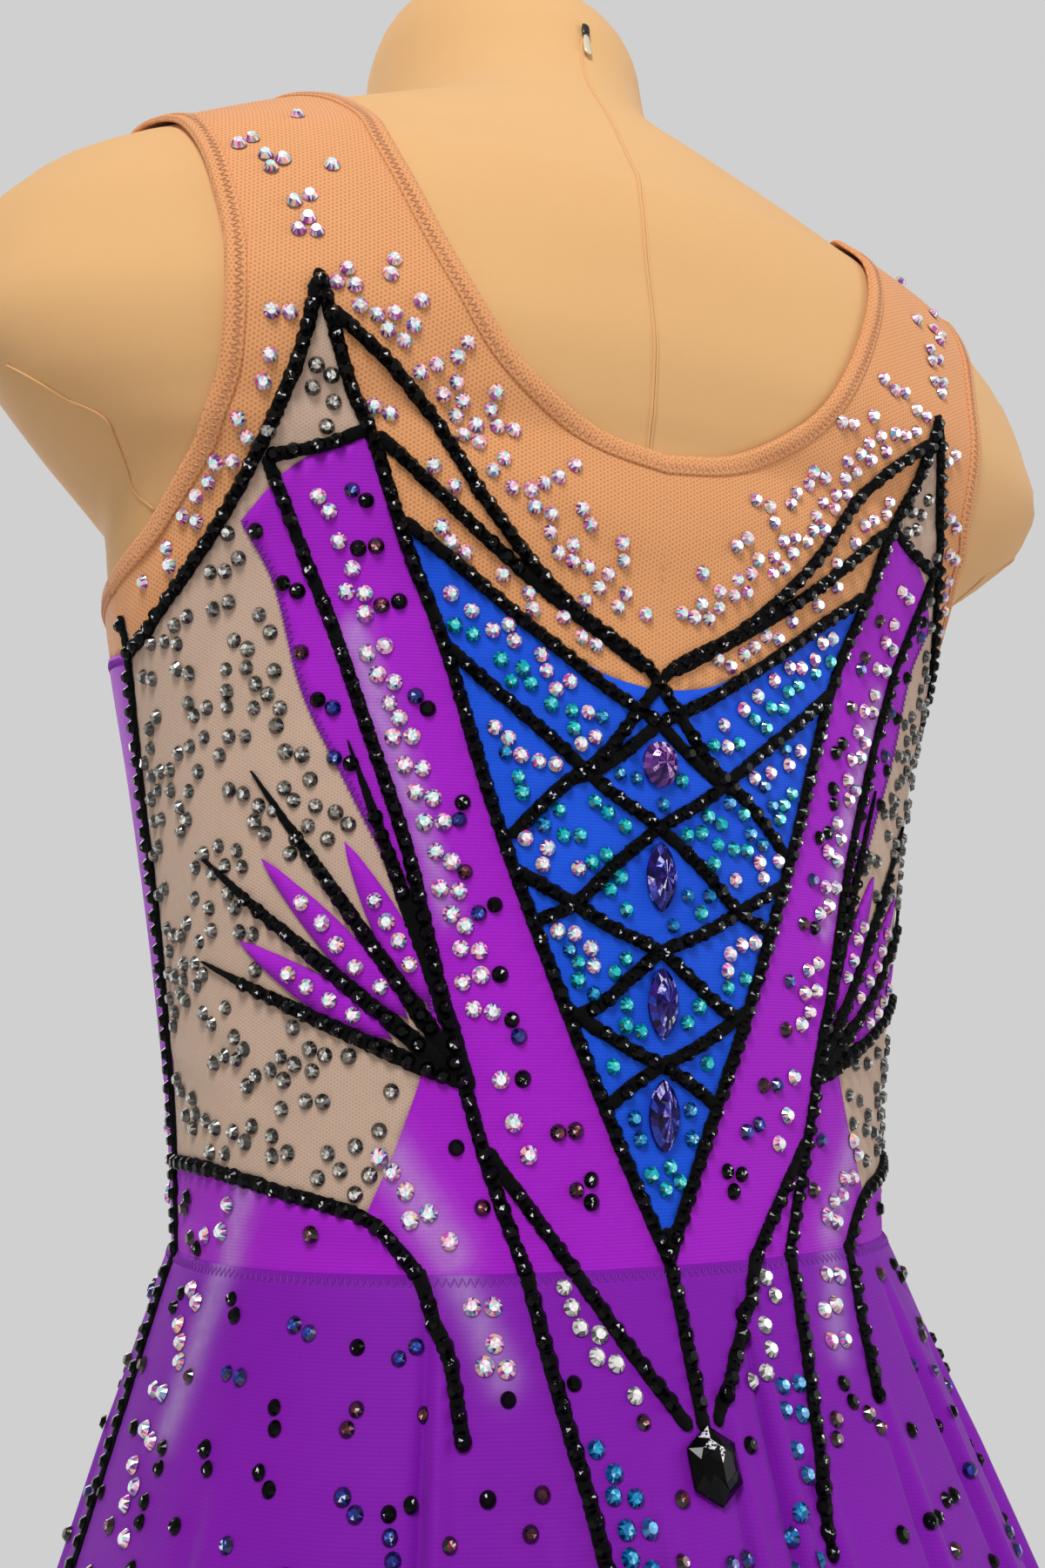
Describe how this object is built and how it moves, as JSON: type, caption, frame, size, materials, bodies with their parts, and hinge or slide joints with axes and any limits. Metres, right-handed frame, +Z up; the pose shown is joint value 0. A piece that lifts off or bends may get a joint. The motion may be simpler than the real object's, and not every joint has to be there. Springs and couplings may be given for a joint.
{
  "type": "rhythmic gymnastics leotard with a skirt on a dress form",
  "caption": "Sleeveless stretch leotard with a mesh yoke, laced-look back panel, velvet tapes, large stones and a flared skirt, worn by a limbless torso dress form.",
  "frame": {"origin": "centre of the standing surface, between the two flat ends of the form", "axes": "+Z up; the garment's front faces -Y, and its wearer's left is +X"},
  "size_m": [0.362, 0.3295, 0.749],
  "materials": {
    "form_cloth": "beige knit cover",
    "nude_mesh": "matt nude power net",
    "blue_stretch": "soft sheen stretch cloth",
    "purple_stretch": "soft sheen stretch cloth",
    "pale_mesh": "pale mesh over nude cloth",
    "black_velvet": "velvet tape",
    "violet_glass": "faceted, foil backed",
    "jet_glass": "faceted jet"
  },
  "bodies": {
    "root": {"form": "form_cloth", "yoke_back": "nude_mesh", "yoke_front": "nude_mesh", "hem_neck": "nude_mesh", "hem_armhole_left": "nude_mesh", "hem_armhole_right": "nude_mesh", "panel_blue": "blue_stretch", "panel_front": "purple_stretch", "band_left": "purple_stretch", "band_right": "purple_stretch", "briefs_back": "purple_stretch", "briefs_front": "purple_stretch", "gusset": "purple_stretch", "skirt_back": "purple_stretch", "skirt_front": "purple_stretch", "side_left": "pale_mesh", "side_right": "pale_mesh", "tape_bodice": "black_velvet", "tape_skirt_1": "black_velvet", "tape_skirt_2": "black_velvet", "tape_skirt_3": "black_velvet", "tape_skirt_4": "black_velvet", "tape_skirt_5": "black_velvet", "tape_skirt_6": "black_velvet", "tape_skirt_7": "black_velvet", "tape_skirt_8": "black_velvet", "tape_skirt_9": "black_velvet", "stone_round": "violet_glass", "stone_drop_upper": "violet_glass", "stone_drop_middle": "violet_glass", "stone_drop_lower": "violet_glass", "stone_hexagon": "jet_glass"}
  },
  "joints": []
}
